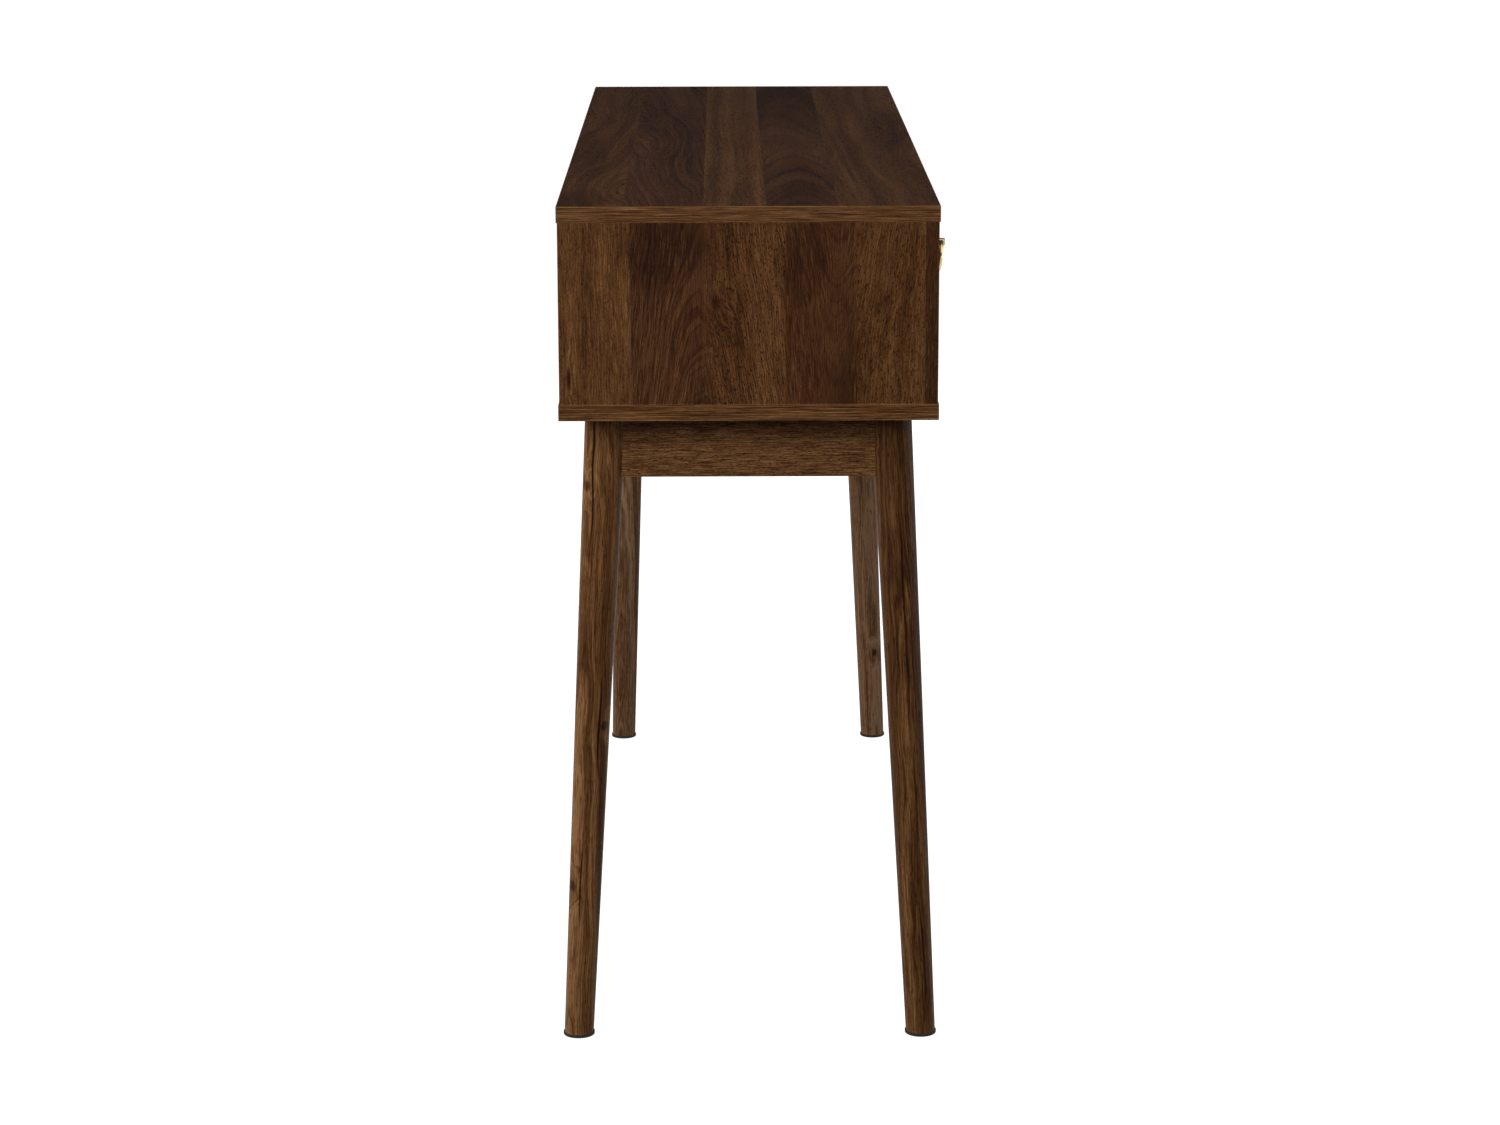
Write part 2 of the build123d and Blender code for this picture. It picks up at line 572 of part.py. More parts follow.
    pivot = Vector(center_x, front_y - pull_eye_reach, ring_z)
    hang_way = Vector(0, 0, -1).rotate(Axis.X, ring_lean)
    ring_plane = Plane(origin=pivot + hang_way * ring_hang, x_dir=(1, 0, 0), z_dir=hang_way.cross(Vector(1, 0, 0)))
    with BuildPart() as ring:
        with Locations(ring_plane):
            Torus(ring_r, ring_wire_r)
    save(ring, f"{name}_pull_ring")

    with BuildPart() as pull_screw:
        with Locations(Plane(origin=(center_x, box_y, ring_z), z_dir=(0, 1, 0))):
            Cylinder(pull_screw_r, board + pull_screw_in_post, align=(Align.CENTER, Align.CENTER, Align.MAX))
            Cylinder(pull_head_r, pull_head_t, align=(Align.CENTER, Align.CENTER, Align.MIN))
            with Locations((0, 0, pull_head_t)):
                Box(4.4, 1, 2.6, mode=Mode.SUBTRACT)
                Box(1, 4.4, 2.6, mode=Mode.SUBTRACT)
    save(pull_screw, f"{name}_pull_screw")
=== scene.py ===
import math

import bpy
from mathutils import Matrix, Vector


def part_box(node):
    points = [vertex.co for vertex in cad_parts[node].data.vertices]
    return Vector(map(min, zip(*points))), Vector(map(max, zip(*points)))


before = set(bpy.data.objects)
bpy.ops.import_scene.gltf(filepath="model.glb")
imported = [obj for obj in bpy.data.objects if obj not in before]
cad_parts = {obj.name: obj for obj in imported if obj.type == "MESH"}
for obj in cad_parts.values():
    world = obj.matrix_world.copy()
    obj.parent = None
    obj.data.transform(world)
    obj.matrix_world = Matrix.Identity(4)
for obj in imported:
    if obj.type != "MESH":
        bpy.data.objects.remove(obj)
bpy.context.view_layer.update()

# Looks of the console table: procedural walnut, brass, steel and plastic on the CAD nodes, a pale
# floor, soft light and the camera. Blender's units are metres, and the wood patterns are in
# millimetres, which each material gets by scaling the object's own coordinates.

MM = 1000.0
top_low, top_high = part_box("top_panel")
body_y = (top_low.y + top_high.y) / 2      # middle of the boards, front to back
under_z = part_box("bottom_panel")[0].z      # underside of the box, where the legs begin
leg_top_x, leg_top_y = 498.0, 133.0        # a leg's middle line there: millimetres from the boards' middle

RIM_WEAR = 0.22         # how much paler the wood's value is along the very edge of a board
EDGE_TONE = 0.665       # value of the bands on a board's edges
FOIL_SHADE = 0.04       # how much darker the foils are than their planks' tones
WOOD_RELIEF = 0.00012   # metres from the bottom of a pore to the top of a fibre
WOOD_BUMP = 0.5


# ---- Node graphs written as arithmetic ----
class Field:
    """A number or vector that varies over a surface: the output of a shader node."""

    def __init__(self, graph, socket):
        self.graph = graph
        self.socket = socket

    def __add__(self, other):
        return self.graph.math("ADD", self, other)

    def __sub__(self, other):
        return self.graph.math("SUBTRACT", self, other)

    def __rsub__(self, other):
        return self.graph.math("SUBTRACT", other, self)

    def __mul__(self, other):
        return self.graph.math("MULTIPLY", self, other)

    def __truediv__(self, other):
        return self.graph.math("DIVIDE", self, other)

    __radd__ = __add__
    __rmul__ = __mul__


class Graph:
    """The nodes of one material, or of the world."""

    def __init__(self, name, owner=None):
        self.material = owner or bpy.data.materials.new(name)
        self.material.use_nodes = True
        self.tree = self.material.node_tree
        self.tree.nodes.clear()
        self.coords = self.node("ShaderNodeTexCoord")

    def node(self, kind, inputs=None, **settings):
        """A new shader node: settings are its own properties, inputs its sockets by name or number."""
        made = self.tree.nodes.new(kind)
        for name, value in settings.items():
            setattr(made, name, value)
        for name, value in (inputs or {}).items():
            self.feed(made.inputs[name], value)
        return made

    def feed(self, socket, value):
        """Links a field to a socket, or sets the socket's own value."""
        if isinstance(value, Field):
            self.tree.links.new(value.socket, socket)
        else:
            socket.default_value = value

    def math(self, operation, a, b=0.0, c=0.0):
        made = self.node("ShaderNodeMath", {0: a, 1: b, 2: c}, operation=operation)
        return Field(self, made.outputs[0])

    def place(self, output="Object", scale=MM):
        """The three coordinates of the point being shaded, in millimetres of the object's own frame."""
        split = self.node("ShaderNodeSeparateXYZ")
        self.tree.links.new(self.coords.outputs[output], split.inputs[0])
        return [Field(self, out) * scale if scale != 1 else Field(self, out) for out in split.outputs]

    def noise(self, x, y, z=0.0, detail=2.0, roughness=0.5):
        """Noise from 0 to 1, around 0.5, whose features are about one unit of its coordinates across."""
        where = self.node("ShaderNodeCombineXYZ", {0: x, 1: y, 2: z})
        made = self.node("ShaderNodeTexNoise", {"Scale": 1.0, "Detail": detail, "Roughness": roughness})
        self.tree.links.new(where.outputs[0], made.inputs["Vector"])
        return Field(self, made.outputs["Fac"])

    def ramp(self, value, low, high, out_low=0.0, out_high=1.0):
        """out_low below low, out_high above high, smooth between."""
        made = self.node("ShaderNodeMapRange", {0: value, 1: low, 2: high, 3: out_low, 4: out_high},
                         interpolation_type="SMOOTHSTEP")
        return Field(self, made.outputs[0])

    def pick(self, share, a, b):
        """a where share is 0, b where it is 1."""
        made = self.node("ShaderNodeMix", {0: share, 2: a, 3: b})
        return Field(self, made.outputs[0])

    def curve(self, value, stops, interpolation="LINEAR"):
        """A colour ramp through (position, colour) stops."""
        made = self.node("ShaderNodeValToRGB", {0: value})
        made.color_ramp.interpolation = interpolation
        elements = made.color_ramp.elements
        while len(elements) < len(stops):
            elements.new(1.0)
        for element, (position, color) in zip(elements, stops):
            element.position = position
            element.color = (*color, 1.0)
        return Field(self, made.outputs["Color"])

    def parts(self, color):
        """The three channels of a colour."""
        split = self.node("ShaderNodeSeparateColor", {0: color})
        return [Field(self, out) for out in split.outputs]

    def tint(self, share, a, b, blend="MIX"):
        """Colour a where share is 0, blended with colour b where it is 1."""
        made = self.node("ShaderNodeMix", data_type="RGBA", blend_type=blend)
        self.feed(made.inputs[0], share)
        for socket, value in ((made.inputs[6], a), (made.inputs[7], b)):
            self.feed(socket, value if isinstance(value, Field) else (*value, 1.0))
        return Field(self, made.outputs[2])

    def finish(self, color, roughness, height=None, relief=0.0002, bump=0.3, **constants):
        """Joins the fields to a Principled shader. constants go on its own sockets."""
        shader = self.node("ShaderNodeBsdfPrincipled")
        self.feed(shader.inputs["Base Color"], color if isinstance(color, Field) else (*color, 1.0))
        self.feed(shader.inputs["Roughness"], roughness)
        for name, value in constants.items():
            shader.inputs[name.replace("_", " ")].default_value = value
        if height is not None:
            raised = self.node("ShaderNodeBump", {"Height": height, "Distance": relief, "Strength": bump})
            self.tree.links.new(raised.outputs[0], shader.inputs["Normal"])
        out = self.node("ShaderNodeOutputMaterial")
        self.tree.links.new(shader.outputs[0], out.inputs["Surface"])
        return self.material


def facing(graph):
    """For each axis, 1 on faces square to it and 0 elsewhere, from the object's own normal."""
    return [graph.ramp(graph.math("ABSOLUTE", part), 0.6, 0.8) for part in graph.place("Normal", 1)]


def rim(graph, point, node):
    """Millimetres from a point on a board's face to the nearest edge of that board."""
    gaps = []
    for value, low, high in zip(point, *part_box(node)):
        gaps.append((high - low) / 2 * MM - graph.math("ABSOLUTE", value - (low + high) / 2 * MM))
    a, b, c = gaps
    return graph.math("MAXIMUM", graph.math("MINIMUM", a, b),
                      graph.math("MINIMUM", graph.math("MAXIMUM", a, b), c))


def rim_wear(graph, point, node, fibres):
    """The pale line along the edges of a board, roughened by its fibres."""
    return graph.ramp(rim(graph, point, node) + fibres * 1.2, 0.2, 1.3, RIM_WEAR, 0.0)


# ---- Walnut ----
# Colours from the darkest heartwood to the palest sapwood, and the plum shade of some planks.
WALNUT = [
    (0.00, (0.0080, 0.0019, 0.0004)),
    (0.25, (0.0225, 0.0069, 0.0014)),
    (0.50, (0.0500, 0.0190, 0.0048)),
    (0.75, (0.0920, 0.0395, 0.0130)),
    (1.00, (0.1550, 0.0780, 0.0320)),
]
PLUM = (0.92, 0.90, 1.35)


def blot(graph, across, along, middle, half, strength):
    """A soft spot that fades to nothing: middle and half are (across, along) in millimetres."""
    a = (across - middle[0]) / half[0]
    b = (along - middle[1]) / half[1]
    return graph.ramp(a * a + b * b, 0.0, 1.0, strength, 0.0)


def grain(graph, ring, lean, along, seed):
    """Tones of wood whose growth lines run at constant ring and whose vessels run at constant lean:
    (bands, lines, fibres, pores)."""
    bands = graph.noise(ring / 15, along / 420, seed, 3.0, 0.55) - 0.5
    crossing = graph.math("ABSOLUTE", graph.noise(ring / 3.6, along / 240, seed + 3.1, 2.0, 0.5) - 0.5)
    lines = graph.ramp(crossing, 0.0, 0.06, 1.0, 0.0)
    fibres = graph.noise(lean / 0.8, along / 20, seed + 7.7, 4.0, 0.75) - 0.5
    dashes = graph.noise(lean / 0.8, along / 3.4, seed + 11.3, 2.0, 0.6)
    return bands, lines, fibres, graph.ramp(dashes, 0.56, 0.62)


def foil(node, planks, flat_axis, spots=(), swells=(), wave=16.0, seed=0.0, reach=100.0, stretch=1.0,
         sheen=0.05, fibre=1.75):
    """Walnut foil on one board, with long growth lines on its flat faces and straight ones on its edges.

    planks is [(start, tone, heart, curl, plum, line, dash)]: start and heart are millimetres across the board
    from its back or lower edge, and growth lines as strong as line arch over the heart, upwards or towards +X
    where curl is positive. plum is the share of the plum shade, and dash is how dark the open pores are.
    spots is [(middle, half, strength)], darker where strength is negative. swells is the same, and bends the
    growth lines round a knot or a flame. wave is how far in millimetres the lines wander. reach is half the
    board's length, and stretch draws the pattern out along it. fibre is the strength of the fine fibres."""
    graph = Graph(node + "_foil")
    x, y, z = point = graph.place()
    to_x, to_y, to_z = facing(graph)
    low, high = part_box(node)
    if flat_axis == "X":
        across, along, flat_face = high.y * MM - y, z - (low.z + high.z) / 2 * MM, to_x
        edge_across, edge_along, width = x, graph.pick(to_z, z, y), (high.y - low.y) * MM
    elif flat_axis == "Z":
        across, along, flat_face = high.y * MM - y, x, to_z
        edge_across, edge_along, width = z, graph.pick(to_x, x, y), (high.y - low.y) * MM
    else:
        across, along, flat_face = z - low.z * MM, x, to_y
        edge_across, edge_along, width = graph.pick(to_z, x, y), graph.pick(to_x, x, z), (high.z - low.z) * MM
    table = [[], []]
    for start, tone, heart, curl, plum, line, dash in planks:
        table[0].append((start / width, (tone, heart / 1000 + 0.5, curl / 100 + 0.5)))
        table[1].append((start / width, (plum, line, dash)))
    tone, heart, curl = graph.parts(graph.curve(across / width, table[0], "CONSTANT"))
    plum, line, dash = graph.parts(graph.curve(across / width, table[1], "CONSTANT"))
    heart = (heart - 0.5) * 1000
    curl = (curl - 0.5) * 100
    off = across - heart
    far = along / stretch
    bend = graph.noise(across / 90, far / 210, heart * 0.31 + seed, 2.0) - 0.5
    ripple = graph.noise(across / 26, far / 90, heart * 0.17 + seed, 2.0) - 0.5
    rise = graph.math("MAXIMUM", curl * along + graph.math("ABSOLUTE", curl) * reach, 0.0)
    ring = graph.math("SQRT", off * off + rise + 30.0) + bend * (wave * 2.0) + ripple * (wave * 0.5)
    for middle, half, strength in swells:
        ring = ring + blot(graph, across, along, middle, half, strength)
    side = off / graph.math("SQRT", off * off + 120.0)
    cloud = graph.noise(across / 40, far / 80, heart * 0.23 + seed, 3.0, 0.55) - 0.5
    lean = graph.pick(flat_face, edge_across, ring * side)
    fine_along = graph.pick(flat_face, edge_along / 2.5, far)
    ring = graph.pick(flat_face, edge_across * 1.6, ring)
    plank_seed = heart * 0.13 * flat_face + seed
    bands, lines, fibres, pores = grain(graph, ring, lean, fine_along, plank_seed)
    value = tone + cloud * 0.32 + bands * 0.65
    for middle, half, strength in spots:
        value = value + blot(graph, across, along, middle, half, strength)
    value = graph.pick(flat_face, EDGE_TONE + bands * 0.3, value)
    line = graph.pick(flat_face, 0.20, line)
    dash = graph.pick(flat_face, 0.12, dash)
    value = value - FOIL_SHADE - lines * line + fibres * graph.pick(flat_face, 3.0, fibre) - pores * dash
    color = graph.curve(value + rim_wear(graph, point, node, fibres), WALNUT)
    color = graph.tint(plum * flat_face, color, PLUM, "MULTIPLY")
    height = fibres * 0.6 - pores * 0.9
    rough = 0.5 + fibres * 0.15 + pores * 0.15
    return graph.finish(color, rough, height, WOOD_RELIEF, WOOD_BUMP, Specular_IOR_Level=sheen)


# Each plank is (start, tone, heart, curl, plum, line, dash), and each spot or swell is
# ((across, along), (half width, half length), strength), as foil says.
SIDE_PLANKS = [
    (0, 0.61, -160, 0, 0.0, 0.05, 0.22),
    (66, 0.49, 131, 12, 0.6, 0.16, 0.12),
    (131, 0.55, 131, 12, 0.1, 0.10, 0.44),
    (207, 0.49, 256, -10, 0.5, 0.10, 0.12),
    (270, 0.59, 256, -10, 0.0, 0.08, 0.36),
    (335, 0.43, 480, 0, 0.5, 0.06, 0.14),
]
SIDE_SPOTS = [
    ((92, 62), (52, 46), -0.18),
    ((226, 52), (26, 50), -0.16),
    ((145, 10), (6, 8), -0.20),
    ((150, 8), (16, 26), -0.08),
    ((188, -10), (26, 150), 0.12),
    ((157, 52), (5, 56), -0.10),
    ((166, -18), (5, 50), -0.12),
    ((262, -30), (24, 80), -0.08),
    ((24, 0), (3.5, 150), -0.16),
    ((30, 40), (4, 60), -0.10),
    ((9, -60), (2.4, 13), -0.55),
    ((14, -10), (8, 70), 0.08),
    ((58, 0), (8, 120), 0.08),
]
SIDE_SWELLS = [((145, 8), (18, 36), 5.0), ((9, -60), (7, 30), 2.0)]
TOP_PLANKS = [
    (0, 0.53, 118, 8, 0.15, 0.10, 0.20),
    (59, 0.43, 20, 10, 0.8, 0.14, 0.10),
    (133, 0.59, -260, 0, 0.1, 0.04, 0.34),
    (191, 0.44, 224, 9, 0.6, 0.18, 0.10),
    (257, 0.52, 190, 6, 0.25, 0.12, 0.16),
]
TOP_SPOTS = [
    ((20, -520), (40, 100), -0.16),
    ((24, -200), (26, 200), -0.10),
    ((224, -440), (40, 160), -0.08),
    ((330, 90), (30, 260), -0.12),
]
TOP_SWELLS = [
    ((30, -390), (46, 170), -18.0),
    ((96, -300), (40, 210), 10.0),
    ((96, 60), (36, 190), -9.0),
    ((322, -200), (40, 210), 14.0),
    ((300, 90), (34, 190), 9.0),
    ((318, 380), (40, 210), 10.0),
    ((30, 160), (34, 210), 8.0),
]
DRAWER_PLANKS = [
    (0, 0.57, 36, 6, 0.1, 0.10, 0.20),
    (74, 0.47, 118, -5, 0.5, 0.16, 0.10),
    (136, 0.60, -120, 0, 0.0, 0.05, 0.26),
]
APRON_PLANKS = [
    (0, 0.66, -90, 0, 0.0, 0.05, 0.25),
    (42, 0.54, -90, 0, 0.2, 0.08, 0.12),
]


def end_apron(node, seed):
    """Walnut foil on an end apron: grain along Y, with a darker strip along the top, part foil and part
    painted shade under the bottom board.
    """
    graph = Graph(node + "_foil")
    x, y, z = point = graph.place()
    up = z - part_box(node)[0].z * MM
    ring = up + (graph.noise(y / 120, up / 30, seed) - 0.5) * 10
    bands, lines, fibres, pores = grain(graph, ring, up, y, seed)
    # A darker strip along the top: partly the foil's own band and partly painted shade under the overhanging
    # bottom board. The plum tint below follows it.
    top_band_and_painted_shade = graph.ramp(ring + bands * 18, 36, 44)
    cloud = graph.noise(y / 50, up / 18, seed + 3.3, 3.0) - 0.5
    value = 0.75 - top_band_and_painted_shade * 0.08 + cloud * 0.3 + bands * 0.3 - lines * 0.16 + fibres * 2.6 - pores * 0.40
    color = graph.curve(value + rim_wear(graph, point, node, fibres), WALNUT)
    color = graph.tint(top_band_and_painted_shade * 0.3, color, PLUM, "MULTIPLY")
    height = fibres * 0.6 - pores * 0.9
    return graph.finish(color, 0.5 + fibres * 0.15, height, WOOD_RELIEF, WOOD_BUMP, Specular_IOR_Level=0.05)


def leg_wood(name, tone, fade, stain, pith, seed, knots=(), cracks=()):
    """Stained solid wood on one leg. Places on the leg are (towards +Y, height) in millimetres, the first
    from the leg's middle line. fade is how much paler each millimetre towards +Y is: painted
    light on the side that faces the key light. stain multiplies the colour. pith is where the tree's
    centre was, from that line. knots is [(place, radius)], and cracks is [(place, half width, half length,
    depth)], both on the side that faces -X."""
    graph = Graph(name + "_wood")
    x, y, z = graph.place()
    low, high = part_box(name.replace("leg", "foot_glide"))
    foot = (low + high) / 2 * MM
    top_x = math.copysign(leg_top_x, foot.x)
    top_y = body_y * MM + math.copysign(leg_top_y, foot.y - body_y * MM)
    u = x - foot.x - z * ((top_x - foot.x) / (under_z * MM))
    v = y - foot.y - z * ((top_y - foot.y) / (under_z * MM))
    # Painted light: the wood gets paler towards +Y, the side that faces the key light.
    value = v * fade + tone
    u = u + (graph.noise(z / 110, seed) - 0.5) * 8
    v = v + (graph.noise(z / 90, seed + 4.0) - 0.5) * 8
    from_u, from_v = u - pith[0] + z * 0.03, v - pith[1] - z * 0.02
    ring = graph.math("SQRT", from_u * from_u + from_v * from_v)
    ring = ring + (graph.noise(u / 18, v / 18, z / 130 + seed, 2.0) - 0.5) * 14
    near_end = graph.ramp(u, -6.0, 2.0, 1.0, 0.0)
    for (knot_v, knot_z), radius in knots:
        ring = ring + blot(graph, v, z, (knot_v, knot_z), (radius * 2.6, radius * 6), 5.0) * near_end
    bands = graph.noise(ring / 8, z / 900 + seed, 0.0, 3.0, 0.55) - 0.5
    lines = graph.noise(ring / 1.7, z / 300 + seed, 0.0, 3.0, 0.6) - 0.5
    fibres = graph.noise(u / 0.9, v / 0.9, z / 44 + seed, 4.0, 0.75) - 0.5
    pores = graph.ramp(graph.noise(u / 1.0, v / 1.0, z / 8 + seed, 2.0, 0.5), 0.56, 0.66)
    value = value + bands * 1.5 + lines * 1.3 + fibres * 1.6 - pores * 0.22
    for (knot_v, knot_z), radius in knots:
        value = value + blot(graph, v, z, (knot_v, knot_z), (radius, radius * 1.5), -0.5) * near_end
    depth = 0.0
    for (crack_v, crack_z), half_width, half_length, strength in cracks:
        depth = blot(graph, v, z, (crack_v, crack_z), (half_width, half_length), strength) + depth
    depth = near_end * depth
    worn_foot = graph.ramp(z + fibres * 8, 2.0, 7.0, 0.12, 0.0)
    end_grain = 0.3 + fibres * 0.5
    value = graph.pick(facing(graph)[2], value - depth + worn_foot, end_grain)
    color = graph.tint(1.0, graph.curve(value, WALNUT), stain, "MULTIPLY")
    height = fibres * 0.5 - pores * 0.8 - depth * 1.5
    rough = 0.46 + fibres * 0.15 + pores * 0.15
    return graph.finish(color, rough, height, relief=0.00015, bump=WOOD_BUMP, Specular_IOR_Level=0.05)


# ---- Other materials ----
def brass():
    """Pale satin brass, brushed along Y and a little tarnished."""
    graph = Graph("satin_brass")
    x, y, z = graph.place()
    tarnish = graph.noise(x / 9, y / 9, z / 9, 3.0, 0.6)
    scratch = graph.noise(x / 0.35, y / 4, z / 0.35, 3.0, 0.7)
    color = graph.curve(tarnish, [(0.25, (0.62, 0.43, 0.19)), (0.75, (0.84, 0.66, 0.38))])
    rough = 0.12 + tarnish * 0.08 + scratch * 0.06
    return graph.finish(color, rough, scratch, relief=0.00003, bump=0.25, Metallic=1.0)


def steel(name, color, base_rough):
    """Plated or cast metal with faint spangle."""
    graph = Graph(name)
    x, y, z = graph.place()
    spangle = graph.noise(x / 3, y / 3, z / 3, 3.0, 0.6)
    fine = graph.noise(x / 0.3, y / 0.3, z / 0.3, 2.0, 0.6)
    dark = tuple(c * 0.72 for c in color)
    shade = graph.curve(spangle, [(0.3, dark), (0.7, color)])
    return graph.finish(shade, base_rough + fine * 0.15, fine, relief=0.00003, bump=0.3, Metallic=1.0)


def plastic(name, color, base_rough):
    """Moulded plastic with a fine grit, paler where it is scuffed."""
    graph = Graph(name)
    x, y, z = graph.place()
    grit = graph.noise(x / 0.45, y / 0.45, z / 0.45, 2.0, 0.6)
    scuff = graph.noise(x / 8, y / 8, z / 8, 4.0, 0.65)
    worn = tuple(min(1.0, c * 2.0 + 0.006) for c in color)
    shade = graph.curve(scuff, [(0.45, color), (0.85, worn)])
    return graph.finish(shade, base_rough + scuff * 0.15, grit, relief=0.00004, bump=0.4,
                        Specular_IOR_Level=0.3)


def hardboard():
    """Thin felted board printed with walnut grain along X."""
    graph = Graph("printed_hardboard")
    x, y, z = graph.place()
    bands, lines, fibres, pores = grain(graph, y + z, y + z, x, 4.0)
    felt = graph.noise(x / 1.6, y / 1.6, z / 1.6, 4.0, 0.7)
    value = 0.6 + bands * 0.6 - lines * 0.1 + fibres * 0.4 - pores * 0.12 + (felt - 0.5) * 0.15
    color = graph.curve(value, WALNUT)
    return graph.finish(color, 0.6 + felt * 0.15, felt, relief=0.0001, bump=0.4, Specular_IOR_Level=0.2)


def drawer_foil():
    """Plain walnut foil on the drawer boxes, with its grain along each board."""
    graph = Graph("drawer_box_foil")
    x, y, z = graph.place()
    along = graph.pick(facing(graph)[0], x, y)
    bands, lines, fibres, pores = grain(graph, z, z, along, 9.4)
    value = 0.6 + bands * 0.5 - lines * 0.1 + fibres * 0.6 - pores * 0.2
    return graph.finish(graph.curve(value, WALNUT), 0.55 + fibres * 0.15, fibres - pores, relief=0.0001,
                        bump=0.4, Specular_IOR_Level=0.08)


def beech():
    """Plain pale beech."""
    graph = Graph("beech")
    x, y, z = graph.place()
    fibres = graph.noise(x / 0.8, y / 0.8, z / 14, 4.0, 0.65)
    color = graph.curve(fibres, [(0.3, (0.36, 0.21, 0.10)), (0.7, (0.58, 0.39, 0.21))])
    return graph.finish(color, 0.6 + fibres * 0.1, fibres, relief=0.0001, bump=0.4)


def dress(material, *names):
    """Puts one material on every slot of the named CAD nodes."""
    for name in names:
        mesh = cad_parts[name].data
        if not mesh.materials:
            mesh.materials.append(material)
        for i in range(len(mesh.materials)):
            mesh.materials[i] = material


dress(foil("top_panel", TOP_PLANKS, "Z", TOP_SPOTS, TOP_SWELLS, wave=12.0, seed=1.3, reach=550.0,
           stretch=4.0, sheen=0.07, fibre=1.2), "top_panel")
dress(foil("bottom_panel", TOP_PLANKS, "Z", wave=26.0, seed=7.1, reach=550.0, stretch=4.0), "bottom_panel")
for i, node in enumerate(("left_side_panel", "right_side_panel", "center_divider")):
    dress(foil(node, SIDE_PLANKS, "X", SIDE_SPOTS, SIDE_SWELLS, wave=9.0, seed=2.9 + 5 * i), node)
for i, node in enumerate(("left_drawer_front", "right_drawer_front")):
    dress(foil(node, DRAWER_PLANKS, "Y", seed=5.2 + 4 * i, reach=275.0, stretch=2.0), node)
for i, node in enumerate(("front_apron", "back_apron")):
    dress(foil(node, APRON_PLANKS, "Y", seed=8.6 + 3 * i, reach=500.0, stretch=3.0), node)
dress(end_apron("left_apron", 6.4), "left_apron")
dress(end_apron("right_apron", 12.9), "right_apron")

LEGS = {
    # The paler +Y side of the near left leg is painted light from the key light.
    "leg_back_left": dict(
        tone=0.75, fade=0.010, stain=(1.0, 1.0, 1.0), pith=(-30, 34), seed=3.0,
        knots=[((15, 534), 4.5), ((-12, 305), 4), ((12, 149), 4.5)],
        cracks=[((9, 560), 1.3, 90, 0.9), ((-7, 300), 1.2, 60, 0.8), ((4, 150), 1.2, 48, 0.8)]),
    "leg_front_left": dict(
        tone=0.60, fade=0.003, stain=(1.0, 1.03, 1.03), pith=(-34, -8), seed=11.0,
        cracks=[((-3, 450), 1.6, 90, 0.5), ((-4, 350), 1.8, 70, 0.45), ((-5, 233), 1.6, 60, 0.45),
                ((-6, 80), 1.6, 60, 0.45)]),
    # The two far legs, towards +X, are paler and greyer than the near ones.
    "leg_back_right": dict(tone=0.71, fade=0.0, stain=(1.0, 1.15, 1.6), pith=(-40, 10), seed=23.0),
    "leg_front_right": dict(
        tone=0.83, fade=0.0, stain=(1.0, 1.12, 1.5), pith=(-36, -20), seed=31.0, knots=[((-6, 110), 4)]),
}
for node, looks in LEGS.items():
    dress(leg_wood(node, **looks), node)
dress(brass(), "left_pull_post", "left_pull_ring", "right_pull_post", "right_pull_ring")

zinc = steel("zinc_plate", (0.62, 0.62, 0.60), 0.28)
cast_zinc = steel("cast_zinc", (0.50, 0.50, 0.50), 0.42)
black_plastic = plastic("black_plastic", (0.006, 0.006, 0.006), 0.6)
brown_plastic = plastic("brown_plastic", (0.030, 0.018, 0.011), 0.4)
board = hardboard()
dowel = beech()
plain_foil = drawer_foil()
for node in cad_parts:
    if "glide" in node:
        dress(black_plastic, node)
    elif node.endswith("runner"):
        dress(brown_plastic, node)
    elif node.endswith("cam_locks"):
        dress(cast_zinc, node)
    elif node.endswith(("screws", "bolts", "nuts", "screw")) or node.startswith("corner_bracket"):
        dress(zinc, node)
    elif node == "wood_dowels":
        dress(dowel, node)
    elif node == "back_panel" or node.endswith("drawer_bottom"):
        dress(board, node)
    elif node.endswith(("_side", "drawer_back")):
        dress(plain_foil, node)


# ---- Stage ----
def floor():
    """A white floor. It is as bright in the picture and in brass as a lit one, but throws little light up."""
    mesh = bpy.data.meshes.new("floor")
    half = 40.0
    corners = [(-half, -half, 0), (half, -half, 0), (half, half, 0), (-half, half, 0)]
    mesh.from_pydata(corners, [], [(0, 1, 2, 3)])
    plane = bpy.data.objects.new("floor", mesh)
    bpy.context.scene.collection.objects.link(plane)
    graph = Graph("floor_white")
    path = graph.node("ShaderNodeLightPath")
    seen = Field(graph, path.outputs["Is Camera Ray"])
    mirrored = Field(graph, path.outputs["Is Glossy Ray"])
    graph.finish((0.22, 0.22, 0.22), 0.9, Specular_IOR_Level=0.0)
    shader = graph.tree.nodes["Principled BSDF"]
    graph.feed(shader.inputs["Emission Strength"], seen * 0.98 + mirrored * 0.75)
    shader.inputs["Emission Color"].default_value = (1, 1, 1, 1)
    mesh.materials.append(graph.material)


def softbox(name, place, aim, size, power, mirrored=True):
    """A square area light of size metres and power watts, at place, pointed at aim. The camera doesn't see
    it, and mirrored is whether it shows in reflections."""
    data = bpy.data.lights.new(name, "AREA")
    data.energy = power
    data.size = size
    light = bpy.data.objects.new(name, data)
    light.location = place
    light.rotation_mode = "QUATERNION"
    light.rotation_quaternion = (Vector(place) - Vector(aim)).to_track_quat("Z", "Y")
    light.visible_camera = False
    light.visible_glossy = mirrored
    bpy.context.scene.collection.objects.link(light)


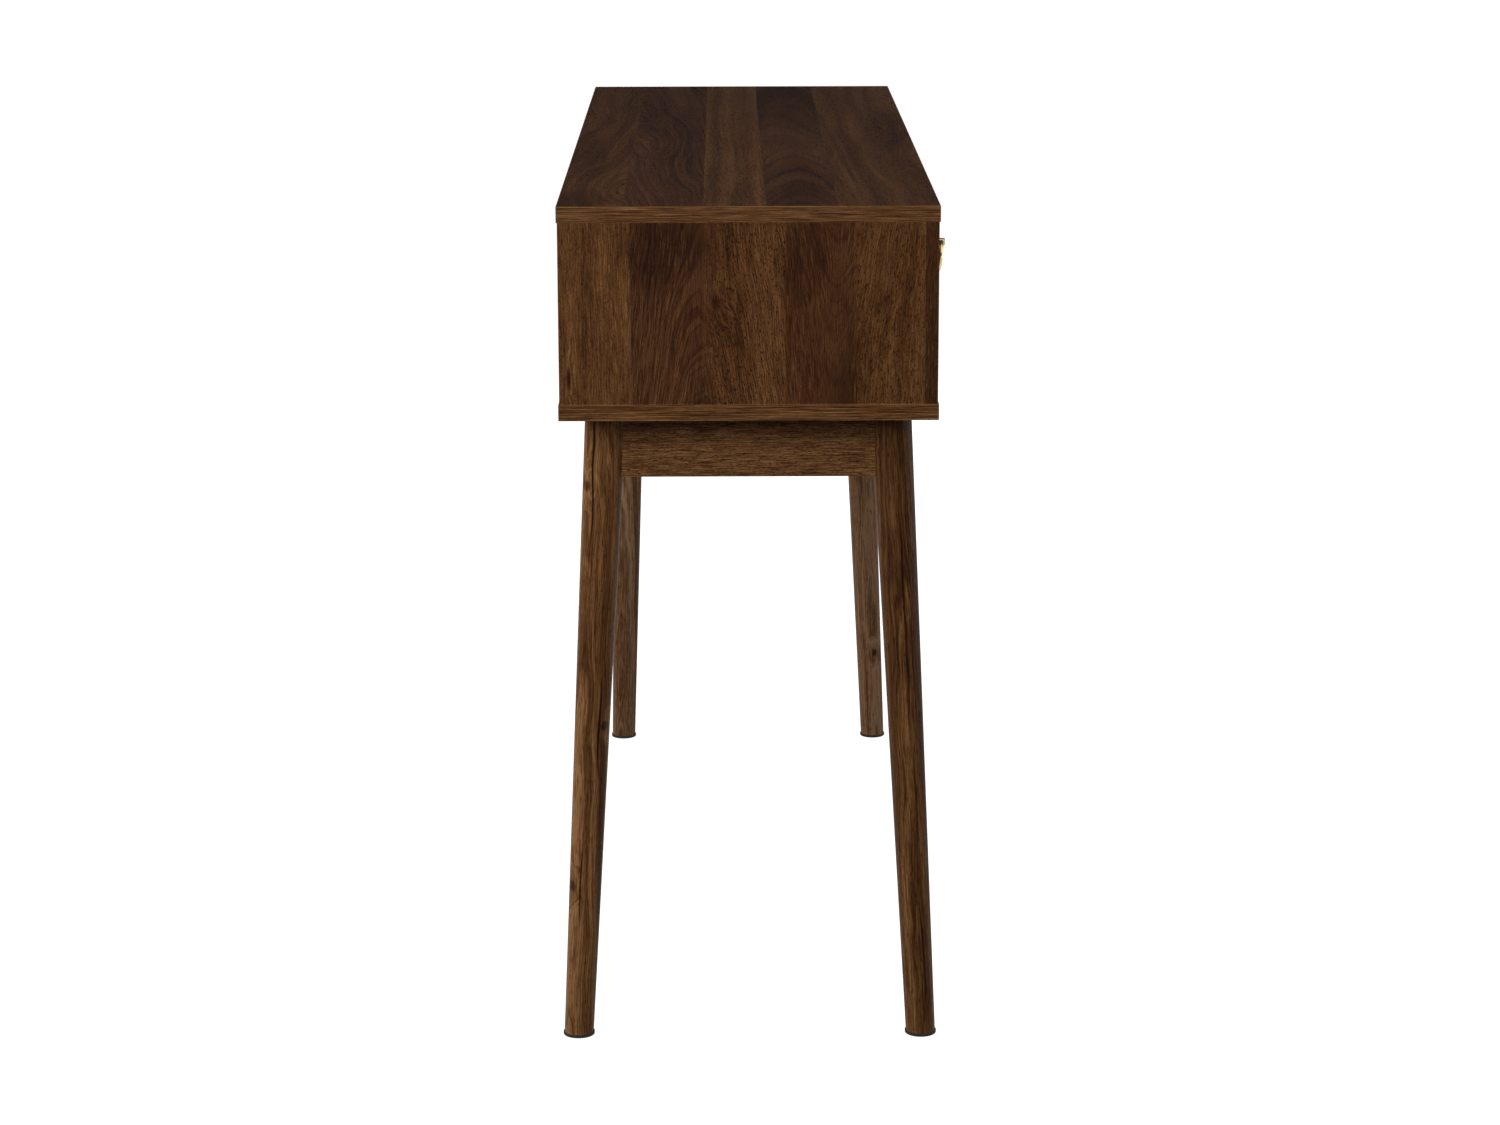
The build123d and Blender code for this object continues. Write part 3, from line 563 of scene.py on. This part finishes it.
def sky(seen, lit, mirrored):
    """A plain white surround: how bright it is in the picture, as a light, and in reflections."""
    world = bpy.data.worlds.new("surround")
    bpy.context.scene.world = world
    graph = Graph("surround", world)
    path = graph.node("ShaderNodeLightPath")
    camera_ray = Field(graph, path.outputs["Is Camera Ray"])
    glossy_ray = Field(graph, path.outputs["Is Glossy Ray"])
    strength = camera_ray * (seen - lit) + glossy_ray * (mirrored - lit) + lit
    shade = graph.node("ShaderNodeBackground", {"Color": (1, 1, 1, 1), "Strength": strength})
    out = graph.node("ShaderNodeOutputWorld")
    graph.tree.links.new(shade.outputs[0], out.inputs["Surface"])


def camera():
    """The camera stands off the left end, a little above the top and a little behind the middle."""
    distance, height, towards_back = 3.3304, 1.2365, 0.0233
    pitch, yaw, roll = 0.22665, 0.00727, -0.002
    focal_pixels, image_width, sensor = 3687.3, 1500, 36.0
    forward = Vector((math.cos(pitch) * math.cos(yaw), -math.cos(pitch) * math.sin(yaw), -math.sin(pitch)))
    right = Vector((-math.sin(yaw), -math.cos(yaw), 0))
    up = right.cross(forward)
    turned_right = right * math.cos(roll) + up * math.sin(roll)
    turned_up = up * math.cos(roll) - right * math.sin(roll)
    data = bpy.data.cameras.new("camera")
    data.sensor_width = sensor
    data.lens = focal_pixels / image_width * sensor
    data.clip_end = 100
    cam = bpy.data.objects.new("camera", data)
    axes = Matrix((turned_right, turned_up, -forward)).transposed()
    place = (top_low.x - distance, body_y + towards_back, height)
    cam.matrix_world = Matrix.Translation(place) @ axes.to_4x4()
    bpy.context.scene.collection.objects.link(cam)
    bpy.context.scene.camera = cam


floor()
sky(1.0, 0.22, 0.10)
softbox("key", (-2.9, 1.5, 1.9), (-0.5, 0, 0.5), 1.3, 95)
softbox("overhead", (-1.3, -0.1, 2.3), (-0.5, 0, 0.8), 2.4, 20)
softbox("left_fill", (0.2, 2.6, 1.0), (0.2, 0, 0.4), 1.4, 55, False)
softbox("right_fill", (-0.2, -2.8, 1.1), (0.2, 0, 0.4), 3.0, 50)
softbox("end_fill", (2.8, -0.6, 1.3), (0.5, 0, 0.5), 1.4, 40, False)
camera()
bpy.context.scene.view_settings.view_transform = "Standard"
